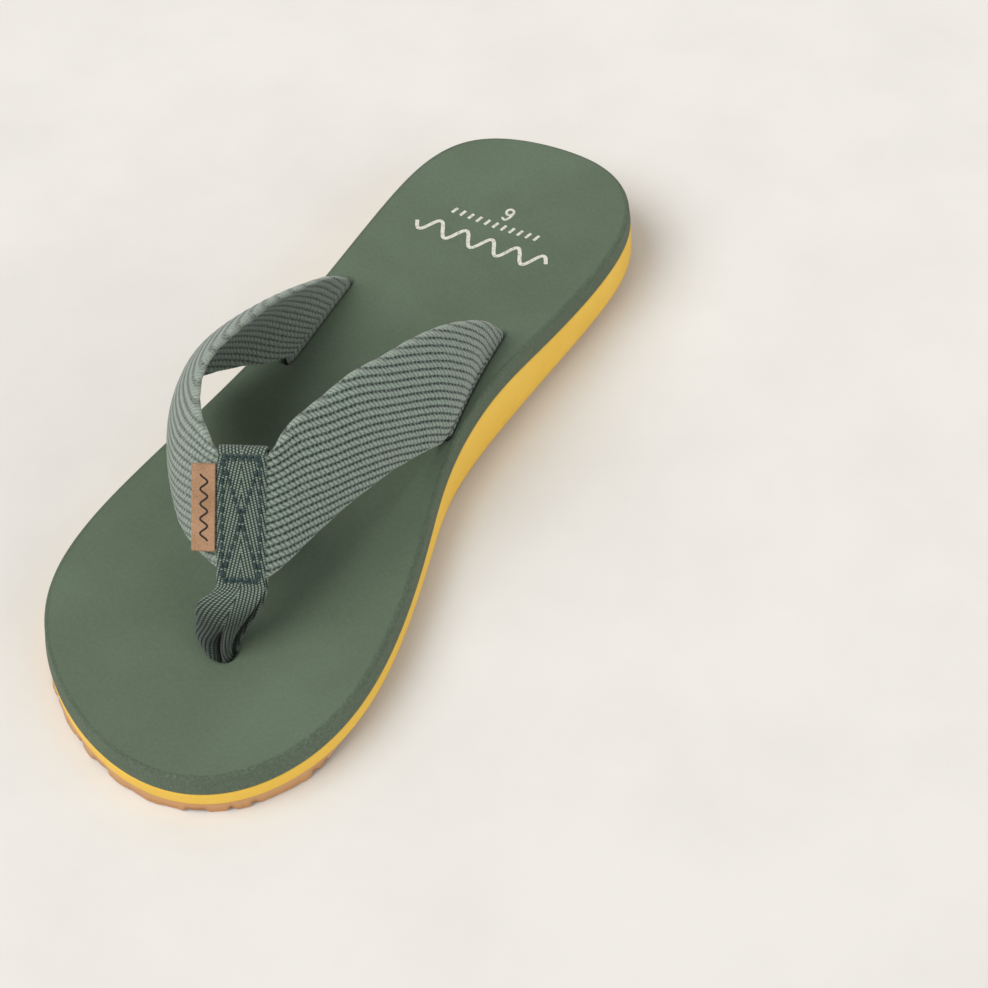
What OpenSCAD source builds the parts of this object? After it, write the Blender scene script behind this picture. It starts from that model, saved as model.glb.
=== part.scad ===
// Flip flop for the right foot: three-layer sole, two webbing straps that meet in a V,
// a folded tape that joins the V to the toe hole, a sewn label and a toe anchor.
// +Y points to the toe, +X to the wearer's right, +Z up. The tread stands on z = 0.

/* [View] */
// One node, or "all"

/* [Sole] */
// Length of the sole, heel to toe, mm
sole_length = 266.7; // [240:0.1:290]
// Width of the sole at the ball, mm
sole_width = 105.5; // [95:0.1:116]
// Thickness of the rubber outsole with its tread, mm
outsole_thickness = 3.2; // [2.8:0.1:5]
// Depth of the tread grooves, mm
groove_depth = 1.6; // [1:0.1:1.8]
// Width of a tread groove, mm
groove_width = 3; // [2:0.1:4]
// Distance from one groove to the next, mm
groove_pitch = 10; // [9:0.5:14]
// Thickness of the midsole under the ball, mm
midsole_forefoot = 4.8; // [4:0.1:6]
// Extra midsole thickness under the heel, mm
heel_raise = 6.9; // [4:0.1:10]
// Height of the swelling under the arch, mm
arch_raise = 6.6; // [0:0.1:8]
// Thickness of the footbed, mm
footbed_thickness = 6.4; // [6:0.2:9]

/* [Straps] */
// Width of the strap webbing, mm
strap_width = 35; // [31:0.5:38]
// Thickness of the strap webbing, mm
strap_thickness = 2.6; // [2:0.1:3]
// How far the strap bows outward between its edges, mm
strap_bow = 3.5; // [0:0.5:5]
// Length of strap glued between footbed and midsole, mm
tail_length = 16; // [10:1:18]

/* [Toe post] */
// Width of the tape that is sewn over the V, mm
tape_width = 14; // [11:0.5:16]
// Thickness of the tape, mm
tape_thickness = 1.2; // [0.8:0.1:1.4]
// Diameter of the gathered tape where it enters the sole, mm
post_diameter = 8; // [6:0.5:9]
// Diameter of the anchor disc under the footbed, mm
anchor_diameter = 22; // [18:1:26]

/* [Label] */
// Visible width of the label, mm
label_width = 7; // [5:0.5:11]
// Length of the label, mm
label_length = 25; // [18:1:30]

/* [Hidden] */

green = [0.36, 0.43, 0.35];
yellow = [0.85, 0.66, 0.22];
tan_rubber = [0.62, 0.40, 0.22];
sage = [0.42, 0.48, 0.43];
teal = [0.22, 0.29, 0.27];
suede = [0.58, 0.45, 0.34];

// Plan sizes scale with the length and width of the sole.
kx = sole_width / 105.5;
ky = sole_length / 266.7;

// Control points of the outline, a closed cubic B-spline, from the heel round the inner side.
outline_points = [
  [-6, -3], [-28, 2], [-43, 23], [-39, 70], [-34, 129], [-41, 152], [-55, 200], [-54, 235], [-38, 260],
  [-14, 268], [15, 260], [42, 239], [53, 213], [51, 174], [40, 122], [37, 73], [39, 23], [25, 2]
];
steps = 6;
outline_count = len(outline_points) * steps;
rows = outline_count / 2;
cells = 8;

function smooth(t) = let (c = min(1, max(0, t))) c * c * (3 - 2 * c);
function gauss(t) = exp(-t * t);
function wrap(i, n) = ((i % n) + n) % n;

function spline_point(c, t) = let (
  n = len(c),
  i = floor(t),
  f = t - i,
  a = c[wrap(i - 1, n)],
  b = c[wrap(i, n)],
  d = c[wrap(i + 1, n)],
  e = c[wrap(i + 2, n)]
) (pow(1 - f, 3) * a + (3 * pow(f, 3) - 6 * f * f + 4) * b
  + (-3 * pow(f, 3) + 3 * f * f + 3 * f + 1) * d + pow(f, 3) * e) / 6;

function outline_raw(t) = let (p = spline_point(outline_points, t)) [p[0] * kx, p[1] * ky];

// A point of the outline moved inward by d.
function outline(i, d = 0) = let (
  t = i / steps,
  p = outline_raw(t),
  g = outline_raw(t + 0.05) - outline_raw(t - 0.05),
  n = [g[1], -g[0]] / norm(g)
) p + n * d;

function outline_ring(d = 0) = [for (i = [0 : outline_count - 1]) outline(i, d)];

// Shift that puts the middle of the sole over the origin.
plain_ring = outline_ring();
shift_x = -(min([for (p = plain_ring) p[0]]) + max([for (p = plain_ring) p[0]])) / 2;
shift_y = -(min([for (p = plain_ring) p[1]]) + max([for (p = plain_ring) p[1]])) / 2;

// Height of the joint between midsole and footbed, and of the upper face of the footbed.
function joint_z(x, y) = outsole_thickness + midsole_forefoot
  + heel_raise * smooth((185 * ky - y) / (125 * ky))
  + arch_raise * gauss((y - 110 * ky) / (32 * ky)) * smooth((-x - 8 * kx) / (26 * kx));
function top_z(x, y) = joint_z(x, y) + footbed_thickness
  - 1.2 * gauss(norm([x / (24 * kx), (y - 40 * ky) / (32 * ky)]))
  - 0.9 * gauss(norm([(x + 2) / (30 * kx), (y - 190 * ky) / (36 * ky)]));

// The footbed leans back at the toe.
function wall_inset(y) = 0.4 + 0.6 * smooth((y - 212 * ky) / (45 * ky));

// A point of row i, k cells in from the inner side, between two points of a ring d inside the outline.
function row_point(i, k, d) = let (
  a = outline(i, d),
  b = outline(outline_count - i, d)
) a + (b - a) * k / cells;

function at_height(p, mode) = [
  p[0],
  p[1],
  mode == 0 ? outsole_thickness : mode == 1 ? joint_z(p[0], p[1]) : top_z(p[0], p[1])
];

function inset_of(i, extra) = wall_inset(outline(i)[1]) + extra;

// One face of a slab: the heel tip, the rows, then the toe tip.
function sheet_points(mode, slant, extra) = concat(
  [at_height(outline(0, slant * inset_of(0, extra)), mode)],
  [for (i = [1 : rows - 1])
    let (a = outline(i, slant * inset_of(i, extra)),
      b = outline(outline_count - i, slant * inset_of(outline_count - i, extra)))
    for (k = [0 : cells]) at_height(a + (b - a) * k / cells, mode)],
  [at_height(outline(rows, slant * inset_of(rows, extra)), mode)]
);
sheet_count = 2 + (rows - 1) * (cells + 1);

function sheet_index(i, k) = i == 0 ? 0 : i == rows ? sheet_count - 1 : 1 + (i - 1) * (cells + 1) + k;

function sheet_faces(base, flip) = [
  for (i = [0 : rows - 1])
    for (k = [0 : cells - 1])
      let (
        a = base + sheet_index(i, k),
        b = base + sheet_index(i, k + 1),
        c = base + sheet_index(i + 1, k + 1),
        d = base + sheet_index(i + 1, k)
      )
      for (f = [[a, b, c], [a, c, d]])
        if (f[0] != f[1] && f[1] != f[2] && f[0] != f[2])
          flip ? [f[2], f[1], f[0]] : f
];

// Index of outline point i on the rim of a face.
function rim_index(base, i) = let (j = wrap(i, outline_count))
  j <= rows ? base + sheet_index(j, 0) : base + sheet_index(outline_count - j, cells);

function band_faces(lower, upper) = [
  for (i = [0 : outline_count - 1])
    let (j = wrap(i + 1, outline_count))
    for (f = [[lower[i], lower[j], upper[j]], [lower[i], upper[j], upper[i]]]) f
];

module midsole_slab() {
  bottom = sheet_points(0, 0, 0);
  top = sheet_points(1, 0, 0);
  low_rim = [for (i = [0 : outline_count - 1]) rim_index(0, i)];
  high_rim = [for (i = [0 : outline_count - 1]) rim_index(sheet_count, i)];
  polyhedron(
    points = concat(bottom, top),
    faces = concat(sheet_faces(0, false), sheet_faces(sheet_count, true), band_faces(low_rim, high_rim)),
    convexity = 6
  );
}

// The upper edge of the footbed is rounded over its last 1.6 mm.
module footbed_slab() {
  bottom = sheet_points(1, 0, 0);
  top = sheet_points(2, 1, 1.4);
  shoulder = [for (i = [0 : outline_count - 1])
    let (p = outline(i, inset_of(i, 0))) [p[0], p[1], top_z(p[0], p[1]) - 1.6]];
  edge = [for (i = [0 : outline_count - 1])
    let (p = outline(i, inset_of(i, 0.4))) [p[0], p[1], top_z(p[0], p[1]) - 0.5]];
  low_rim = [for (i = [0 : outline_count - 1]) rim_index(0, i)];
  high_rim = [for (i = [0 : outline_count - 1]) rim_index(sheet_count, i)];
  base = 2 * sheet_count;
  shoulder_rim = [for (i = [0 : outline_count - 1]) base + i];
  edge_rim = [for (i = [0 : outline_count - 1]) base + outline_count + i];
  polyhedron(
    points = concat(bottom, top, shoulder, edge),
    faces = concat(
      sheet_faces(0, false),
      sheet_faces(sheet_count, true),
      band_faces(low_rim, shoulder_rim),
      band_faces(shoulder_rim, edge_rim),
      band_faces(edge_rim, high_rim)
    ),
    convexity = 6
  );
}

// The flat middle of the V, where the two straps meet under the tape: its middle, the direction
// up along it, the direction across it to the outer side of the foot, and the direction it faces.
v_middle = [-7, 195.5, 45];
v_up = [10, -23, 28] / norm([10, -23, 28]);
v_across = [23, 10, 0] / norm([23, 10, 0]);
v_face = cross(v_up, v_across);
v_half = 7.4;

function v_point(a, b, c) = v_middle + a * v_across + b * v_face + c * v_up;

// Straps. Each pair gives the upper and the lower edge of the webbing at one station,
// from the edge of the V to the slot in the footbed.
medial_upper = [
  v_point(-0.1, 0, 16.8), v_point(-v_half, 0, 17), [-10, 171, 61], [-12, 158, 60], [-14.5, 146, 59.5],
  [-17, 134, 56], [-19, 122, 52.5], [-21.5, 110, 48], [-23.5, 100, 42], [-25.5, 91, 34.5], [-26.5, 84, 24.5]
];
medial_lower = [
  v_point(-0.1, 0, -18), v_point(-v_half, 0, -17.5), [-20.5, 186, 30.5], [-23, 172, 30.5], [-25.5, 160, 29.5],
  [-27, 151, 28], [-28.5, 144, 26], [-30, 138, 24.5], [-31, 134, 23], [-31.5, 130.5, 22], [-32, 127, 23]
];
lateral_upper = [
  v_point(0.1, 0, 16.8), v_point(v_half, 0, 17), [12.5, 182.5, 62], [18.5, 175.5, 62], [23.5, 166.5, 61],
  [26.5, 156, 59], [27.5, 145.5, 56], [28.5, 133, 51.5], [29.5, 121, 46.5], [30, 106.5, 39], [30, 92, 30.5],
  [29.5, 83, 22]
];
lateral_lower = [
  v_point(0.1, 0, -17), v_point(v_half, 0, -15), [12, 199, 31], [22, 189, 31], [31.5, 177, 30],
  [39.5, 165, 28.5], [46, 151, 27], [47, 144.5, 26.5], [43.5, 139, 26], [38.5, 132.5, 24.5], [33, 126.5, 22.5],
  [30, 118.5, 19.5]
];
strap_cells = 4;
strap_steps = 3;

function scaled(p) = [p[0] * kx, p[1] * ky, p[2]];

function through(c, t) = let (
  n = len(c) - 1,
  i = min(n - 1, floor(t)),
  f = t - i,
  b = scaled(c[i]),
  d = scaled(c[i + 1]),
  a = i == 0 ? 2 * b - d : scaled(c[i - 1]),
  e = i == n - 1 ? 2 * d - b : scaled(c[i + 2])
) (2 * b + (d - a) * f + (2 * a - 5 * b + 4 * d - e) * f * f + (3 * b - a - 3 * d + e) * f * f * f) / 2;

// Middle of the webbing at t, and the way from there to its upper edge.
width_scale = strap_width / 35;
function strap_mid(u, l, t) = (through(u, t) + through(l, t)) / 2;
function strap_across(u, l, t) = (through(u, t) - through(l, t)) / 2 * width_scale;

// Rows of the arch: each is [middle, across, outward, bow]. The first cell, under the tape, is flat.
function arch_rows(u, l, side) = let (n = len(u) - 1) [
  for (j = [0, for (i = [strap_steps : n * strap_steps]) i])
    let (
      t = j / strap_steps,
      m = strap_mid(u, l, t),
      c = strap_across(u, l, t),
      g = strap_mid(u, l, min(n, t + 0.1)) - strap_mid(u, l, max(0, t - 0.1)),
      o = t <= 1 ? v_face : -side * cross(g, c),
      s = strap_bow * smooth((t - 1) / 2) * smooth((n - t) / 2)
    )
    [m, c, o / norm(o), s]
];

// Rows of the tail: down through the slot, round a bend, then inward under the footbed.
bend = 3;
function tail_rows(u, l, side) = let (
  n = len(u) - 1,
  m = strap_mid(u, l, n),
  c3 = strap_across(u, l, n),
  c = [c3[0], c3[1], 0],
  out = [side * abs(c[1]), -side * c[0] * sign(c[1]), 0] / norm(c)
) [
  for (q = [[0, 6], [0, 4], [0, 2.5], [0.4, 1], [1.5, -0.6], [bend, -1.8], [bend + 6, -1.8], [tail_length, -1.8]])
    let (
      p = m - out * q[0],
      lie = q[1] < -1 ? 1 : q[1] < 0 ? 0.6 : q[1] < 2 ? 0.25 : 0
    )
    [[p[0], p[1], q[1]], c, lie * [0, 0, -1] * 1 + (1 - lie) * out, -1]
];

// A cross-section ring of the webbing: outer face from the lower edge up, then inner face back.
// Above the slot the webbing stays clear of the footbed.
clear = 0.5;
function section(row, wider, half_t) = let (
  m = row[0],
  c = row[1],
  o = row[2] / norm(row[2]),
  tail = row[3] < 0
) [
  for (q = [for (k = [0 : strap_cells]) [k, 1], for (k = [strap_cells : -1 : 0]) [k, -1]])
    let (
      v = 2 * q[0] / strap_cells - 1,
      p = m + c * v * (1 + wider / norm(c)) + o * (q[1] * half_t + (tail ? 0 : row[3] * (1 - v * v))),
      j = joint_z(p[0], p[1])
    )
    [p[0], p[1], tail ? p[2] + j : max(p[2], j + footbed_thickness + clear)]
];

// A closed body through a list of rings that have the same even number of points.
module swept(rings, flip = false) {
  n = len(rings[0]);
  m = len(rings);
  points = [for (r = rings) for (p = r) p];
  sides = [
    for (i = [0 : m - 2])
      for (k = [0 : n - 1])
        let (a = i * n + k, b = i * n + (k + 1) % n, c = b + n, d = a + n)
        for (f = [[a, b, c], [a, c, d]]) f
  ];
  half = n / 2;
  first = [for (k = [0 : half - 2]) for (f = [[k, n - 1 - k, k + 1], [k + 1, n - 1 - k, n - 2 - k]]) f];
  last = [for (f = first) [for (v = [2 : -1 : 0]) f[v] + (m - 1) * n]];
  faces = concat(sides, first, last);
  polyhedron(points = points, faces = [for (f = faces) flip ? [f[2], f[1], f[0]] : f], convexity = 8);
}

module strap(u, l, side) {
  swept([for (r = concat(arch_rows(u, l, side), tail_rows(u, l, side)))
    section(r, 0, strap_thickness / 2)], side > 0);
}

// The space that a tail needs in the layers of the sole, 0.4 mm wider than the tail all round.
module tail_space(u, l, side) {
  rings = tail_rows(u, l, side);
  last = rings[len(rings) - 1];
  longer = [last[0] - [side * 0.8, 0, 0], last[1], last[2], last[3]];
  swept([for (r = [rings[0] + [[0, 0, 3], [0, 0, 0], [0, 0, 0], 0], for (i = [0 : len(rings) - 2]) rings[i], longer])
    section(r, 0.4, strap_thickness / 2 + 0.4)], side > 0);
}

// Where the gathered tape goes into the sole.
hole = [-12.5 * kx, 221.5 * ky];
hole_joint = joint_z(hole[0], hole[1]);
hole_top = top_z(hole[0], hole[1]);
anchor_thickness = 2.2;

module footbed() {
  color(green) difference() {
    footbed_slab();
    tail_space(medial_upper, medial_lower, -1);
    tail_space(lateral_upper, lateral_lower, 1);
    translate([hole[0], hole[1], hole_joint - 2]) cylinder(h = 12, d = post_diameter + 0.6, $fn = 48);
  }
}

module midsole() {
  color(yellow) difference() {
    midsole_slab();
    tail_space(medial_upper, medial_lower, -1);
    tail_space(lateral_upper, lateral_lower, 1);
    translate([hole[0], hole[1], hole_joint - anchor_thickness - 0.2])
      cylinder(h = 6, d = anchor_diameter + 0.4, $fn = 64);
  }
}

// Tread: transverse wavy ribs under a base sheet. They end a little inside its edge.
// The outsole is flush with the midsole at the toe and steps in under it elsewhere.
step_in = 2.6;
wave_length = 15.3;
wave_height = 3.5;
wave_steps = 8;
wave_reach = 60;
rib_inset = 1.9;

function outsole_ring(extra) = [
  for (i = [0 : outline_count - 1])
    outline(i, 0.3 + extra + step_in * smooth((235 * ky - outline(i)[1]) / (40 * ky)))
];

function wave(x) = wave_height * sin(360 * x / wave_length);

module wavy_groove(y) {
  xs = [for (x = [-wave_reach : wave_length / wave_steps : wave_reach]) x];
  polygon(concat(
    [for (x = xs) [x, y + wave(x) - groove_width / 2]],
    [for (i = [len(xs) - 1 : -1 : 0]) [xs[i], y + wave(xs[i]) + groove_width / 2]]
  ));
}

module outsole() {
  color(tan_rubber) union() {
    translate([0, 0, groove_depth]) linear_extrude(height = outsole_thickness - groove_depth)
      polygon(outsole_ring(0));
    linear_extrude(height = groove_depth + 0.4) difference() {
      polygon(outsole_ring(rib_inset));
      for (y = [0 : groove_pitch : sole_length + 8]) wavy_groove(y);
    }
  }
}

module strap_medial() {
  color(sage) strap(medial_upper, medial_lower, -1);
}

module strap_lateral() {
  color(sage) strap(lateral_upper, lateral_lower, 1);
}

// Places a child that is drawn with X across the V, Y the way it faces and Z up along it.
module on_v() {
  multmatrix([
    [v_across[0], v_face[0], v_up[0], v_middle[0] * kx],
    [v_across[1], v_face[1], v_up[1], v_middle[1] * ky],
    [v_across[2], v_face[2], v_up[2], v_middle[2]],
    [0, 0, 0, 1]
  ]) children();
}

// The tape lies on both faces of the V and folds over its upper edge.
leg_inner = strap_thickness / 2 + 0.15;
leg_outer = leg_inner + tape_thickness;
v_top = -0.25 + 17.4 * width_scale;
v_bottom = -1.8 - 18.5 * width_scale;

module tape_loop() {
  translate([tape_width / 2, 0, 0]) rotate([0, -90, 0]) linear_extrude(height = tape_width) {
    difference() {
      union() {
        translate([v_bottom, -leg_outer]) square([v_top - v_bottom, 2 * leg_outer]);
        translate([v_top, 0]) circle(r = leg_outer, $fn = 48);
      }
      translate([v_bottom - 1, -leg_inner]) square([v_top - v_bottom + 1, 2 * leg_inner]);
      translate([v_top, 0]) circle(r = leg_inner, $fn = 48);
    }
  }
}

// Below the V the tape folds on itself into two lobes and gathers into the hole.
post_sides = 24;
post_start = [v_middle[0] * kx, v_middle[1] * ky, v_middle[2]] + v_up * (v_bottom + 0.45);
post_end = [hole[0], hole[1], hole_top];
forward = [-v_across[1], v_across[0], 0];

function post_path(t) = let (a = post_start - 7 * v_up, b = post_end + [0, 0, 7])
  pow(1 - t, 3) * post_start + 3 * pow(1 - t, 2) * t * a + 3 * (1 - t) * t * t * b + pow(t, 3) * post_end;

function lobe_ring(t, half_w, half_d, dent) = let (
  f = (1 - t) * v_face + t * forward,
  d = f / norm(f)
) [
  for (k = [0 : post_sides - 1])
    let (
      w = 360 * k / post_sides,
      c = cos(w),
      s = sin(w),
      q = pow(abs(c), 0.7) * sign(c),
      e = pow(abs(s), 0.7) * sign(s) * (1 - dent * gauss(c / 0.3) * max(0, s))
    ) post_path(t) + v_across * half_w * q + d * half_d * e
];

function round_ring(z, r) = [
  for (k = [0 : post_sides - 1])
    let (w = 360 * k / post_sides) [hole[0], hole[1], z] + r * (v_across * cos(w) + forward * sin(w))
];

module ringed(rings) {
  n = len(rings[0]);
  m = len(rings);
  sides = [
    for (i = [0 : m - 2])
      for (k = [0 : n - 1])
        let (a = i * n + k, b = i * n + (k + 1) % n, c = b + n, d = a + n)
        for (f = [[a, b, c], [a, c, d]]) f
  ];
  first = [for (k = [n - 1 : -1 : 0]) k];
  last = [for (k = [0 : n - 1]) (m - 1) * n + k];
  polyhedron(points = [for (r = rings) for (p = r) p], faces = concat(sides, [first], [last]), convexity = 4);
}

module gathered_post() {
  r = post_diameter / 2 - 0.1;
  ringed([
    lobe_ring(0, tape_width / 2 - 0.05, leg_outer - 0.05, 0),
    lobe_ring(0.2, tape_width / 2 + 0.2, leg_outer + 0.5, 0.1),
    lobe_ring(0.4, tape_width / 2 + 0.8, leg_outer + 1.3, 0.25),
    lobe_ring(0.6, tape_width / 2 + 0.6, leg_outer + 1.8, 0.35),
    lobe_ring(0.78, tape_width / 2 - 1, leg_outer + 1.8, 0.4),
    lobe_ring(0.92, tape_width / 2 - 2.6, leg_outer + 1.3, 0.3),
    round_ring(hole_top + 0.3, r),
    round_ring(hole_joint - anchor_thickness, r)
  ]);
}

module toe_post() {
  color(teal) union() {
    on_v() tape_loop();
    gathered_post();
  }
}

// Thread: a box with a cross in it, sewn through the tape and both straps, seen on both faces.
thread = 0.8;
box_width = 10.8;
box_height = 34;
box_middle = -0.8;

module thread_line(a, b) {
  l = norm(b - a);
  translate([a[0], 0, a[1]]) rotate([0, -atan2(b[1] - a[1], b[0] - a[0]), 0])
    translate([0, leg_outer, -thread / 2]) cube([l, 0.4, thread]);
}

module box_stitch() {
  w = box_width / 2;
  h = box_height / 2;
  thread_line([-w, -h], [w, -h]);
  thread_line([-w, h], [w, h]);
  thread_line([-w, -h], [-w, h]);
  thread_line([w, -h], [w, h]);
  thread_line([-w, -h], [w, h]);
  thread_line([-w, h], [w, -h]);
}

module tape_stitching() {
  color(teal * 0.7) on_v() translate([0, 0, box_middle]) union() {
    box_stitch();
    mirror([0, 1, 0]) box_stitch();
  }
}

// The label is folded double and held under the edge of the tape.
label_height = 2.1;
label_thickness = 1;

module label() {
  color(suede) on_v() translate([tape_width / 2 + 0.35, leg_inner + 0.3, label_height - label_length / 2]) {
    cube([label_width - label_thickness / 2, label_thickness, label_length]);
    translate([label_width - label_thickness / 2, label_thickness / 2, 0])
      cylinder(h = label_length, d = label_thickness, $fn = 24);
  }
}

// A disc under the footbed that stops the gathered tape from pulling out.
module toe_anchor() {
  color(tan_rubber) translate([hole[0], hole[1], hole_joint - anchor_thickness - 0.1]) difference() {
    cylinder(h = anchor_thickness, d = anchor_diameter, $fn = 64);
    translate([0, 0, -1]) cylinder(h = anchor_thickness + 2, d = post_diameter, $fn = 48);
  }
}

module placed() {
  translate([shift_x, shift_y, 0]) children();
}

placed() footbed();
placed() midsole();
placed() outsole();
placed() strap_medial();
placed() strap_lateral();
placed() toe_post();
placed() tape_stitching();
placed() label();
placed() toe_anchor();
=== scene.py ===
"""Looks of a right-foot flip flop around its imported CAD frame.

Shapes are worked out in millimetres, with y = 0 at the heel tip as in the part's source,
and moved to the row frame by world().
"""

import math

import bmesh
import bpy
import numpy as np
from mathutils import Matrix, Vector

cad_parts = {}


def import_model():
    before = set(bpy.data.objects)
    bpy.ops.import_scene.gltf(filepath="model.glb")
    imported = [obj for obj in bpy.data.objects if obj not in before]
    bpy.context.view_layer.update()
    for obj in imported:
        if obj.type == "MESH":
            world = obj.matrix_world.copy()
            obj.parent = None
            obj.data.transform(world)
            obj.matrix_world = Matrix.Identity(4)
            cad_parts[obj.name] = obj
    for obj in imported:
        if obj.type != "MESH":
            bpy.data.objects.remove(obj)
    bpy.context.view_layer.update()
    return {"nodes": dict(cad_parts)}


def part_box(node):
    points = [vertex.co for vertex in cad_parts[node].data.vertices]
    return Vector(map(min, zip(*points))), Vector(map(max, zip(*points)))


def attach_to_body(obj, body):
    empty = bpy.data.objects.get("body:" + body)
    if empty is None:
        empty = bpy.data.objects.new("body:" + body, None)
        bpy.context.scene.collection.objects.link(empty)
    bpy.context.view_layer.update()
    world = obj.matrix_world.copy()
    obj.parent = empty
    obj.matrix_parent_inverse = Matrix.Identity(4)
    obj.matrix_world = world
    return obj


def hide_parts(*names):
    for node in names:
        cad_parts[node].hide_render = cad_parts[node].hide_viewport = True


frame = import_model()


# ---------------------------------------------------------------- plain maths
def smooth(t):
    """0 below 0, 1 above 1 and a soft step between."""
    t = np.clip(t, 0.0, 1.0)
    return t * t * (3 - 2 * t)


def bell(t):
    return np.exp(-t * t)


def unit(v):
    return v / np.linalg.norm(v, axis=-1, keepdims=True)


def tri(phase):
    """0 in the middle of a valley and 1 on a crest, once per unit of phase."""
    return 1 - np.abs(2 * (phase - np.floor(phase)) - 1)


# ---------------------------------------------------------------- sole outline
OUTLINE = np.array(
    [
        (-6, -3), (-28, 2), (-43, 23), (-39, 70), (-34, 129), (-41, 152),
        (-55, 200), (-54, 235), (-38, 260), (-14, 268), (15, 260), (42, 239),
        (53, 213), (51, 174), (40, 122), (37, 73), (39, 23), (25, 2),
    ],
    float,
)
TURNS = len(OUTLINE)
OUTSOLE = 3.2
RIB = 1.6
MIDSOLE_TOE = 4.8
HEEL_RAISE = 6.9
ARCH_RAISE = 6.6
FOOTBED = 6.4
HEEL_DISH = 1.2
BALL_DISH = 0.9


def outline_raw(t):
    """A closed cubic B-spline round the outline's points."""
    i = np.floor(t).astype(int)
    f = (t - i)[..., None]
    shares = ((1 - f) ** 3, 3 * f**3 - 6 * f * f + 4, -3 * f**3 + 3 * f * f + 3 * f + 1, f**3)
    return sum(share * OUTLINE[(i + k - 1) % TURNS] for k, share in enumerate(shares)) / 6


def outline(t, inset=0.0):
    """The sole's edge at t, moved inward."""
    t = np.asarray(t, float)
    g = unit(outline_raw(t + 0.05) - outline_raw(t - 0.05))
    normal = np.stack([g[..., 1], -g[..., 0]], -1)
    return outline_raw(t) + normal * np.asarray(inset)[..., None]


EDGE = outline(np.linspace(0, TURNS, 1441)[:-1])


def joint_z(x, y):
    """Height of the joint between midsole and footbed."""
    heel = HEEL_RAISE * smooth((185 - y) / 125)
    arch = ARCH_RAISE * bell((y - 110) / 32) * smooth((-x - 8) / 26)
    return OUTSOLE + MIDSOLE_TOE + heel + arch


def top_z(x, y):
    """Height of the footbed's upper face, dished at the heel and the ball of the foot."""
    heel = HEEL_DISH * bell(np.hypot(x / 24, (y - 40) / 32))
    ball = BALL_DISH * bell(np.hypot((x + 2) / 30, (y - 190) / 36))
    return joint_z(x, y) + FOOTBED - heel - ball


def wall_inset(y):
    """How far the top of the footbed's wall leans in."""
    return 0.4 + 0.6 * smooth((y - 212) / 45)


low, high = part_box("midsole")
SHIFT = np.array(
    [
        (low.x + high.x) * 500 - (EDGE[:, 0].min() + EDGE[:, 0].max()) / 2,
        (low.y + high.y) * 500 - (EDGE[:, 1].min() + EDGE[:, 1].max()) / 2,
        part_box("outsole")[0].z * 1000,
    ]
)


def world(points):
    """Points in the row frame, in metres."""
    return (np.asarray(points, float) + SHIFT) / 1000


# ---------------------------------------------------------------- mesh building
def make_object(name, points, faces, material, values=None, shade_angle=None):
    """A mesh object from points in mm, faces as lists of index arrays, and per-point values."""
    mesh = bpy.data.meshes.new(name)
    polygons = []
    for block in faces:
        polygons += block.tolist() if isinstance(block, np.ndarray) else block
    mesh.from_pydata(world(points).tolist(), [], polygons)
    for key, value in (values or {}).items():
        layer = mesh.attributes.new(key, "FLOAT", "POINT")
        layer.data.foreach_set("value", np.asarray(value, np.float32).ravel())
    b = bmesh.new()
    b.from_mesh(mesh)
    bmesh.ops.recalc_face_normals(b, faces=b.faces)
    b.to_mesh(mesh)
    b.free()
    mesh.shade_smooth()
    if shade_angle:
        mesh.set_sharp_from_angle(angle=math.radians(shade_angle))
    mesh.materials.append(material)
    obj = bpy.data.objects.new(name, mesh)
    bpy.context.scene.collection.objects.link(obj)
    return obj


def attach(obj, body, slot, *nodes):
    """Fix a piece to its body and hide the nodes it stands for. slot is not used."""
    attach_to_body(obj, body)
    if nodes:
        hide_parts(*nodes)
    return obj


def grid_faces(ids):
    """Quads of a grid of point numbers."""
    return np.stack([ids[:-1, :-1], ids[:-1, 1:], ids[1:, 1:], ids[1:, :-1]], -1).reshape(-1, 4)


def loop_faces(ids):
    """Quads between rows that are each closed rings of point numbers."""
    return grid_faces(np.concatenate([ids, ids[:, :1]], 1))


def ring(rows, inset, height):
    """A closed ring of points round the sole: heel tip, inner side, toe tip, outer side."""
    t = np.linspace(0, TURNS, 2 * rows + 1)[:-1]
    y = outline(t)[:, 1]
    p = outline(t, inset(y) if callable(inset) else inset)
    z = height(p[:, 0], p[:, 1]) if callable(height) else np.full(len(p), float(height))
    return np.column_stack([p, z])


def plate_points(rows, border, cells, height):
    """Inner points of a sheet that closes the ring border."""
    left = border[1:rows]
    right = border[: rows : -1][: rows - 1]
    k = np.linspace(0, 1, cells + 1)[1:-1]
    inner = left[:, None, :2] * (1 - k[None, :, None]) + right[:, None, :2] * k[None, :, None]
    z = height(inner[..., 0], inner[..., 1]) if cells > 1 else np.zeros(inner.shape[:2])
    return np.concatenate([inner, z[..., None]], -1).reshape(-1, 3)


def plate_faces(rows, cells, base, start):
    """Faces of a sheet: its ring's first point is number base, its first inner one number start."""
    left = base + np.arange(1, rows)
    right = base + (2 * rows - np.arange(1, rows))
    inner = start + np.arange((rows - 1) * (cells - 1)).reshape(rows - 1, cells - 1)
    ids = np.concatenate([left[:, None], inner, right[:, None]], 1)
    first = [[base, int(a), int(b)] for a, b in zip(ids[0, :-1], ids[0, 1:])]
    last = [[base + rows, int(b), int(a)] for a, b in zip(ids[-1, :-1], ids[-1, 1:])]
    return [grid_faces(ids), np.array(first), np.array(last)]


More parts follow.
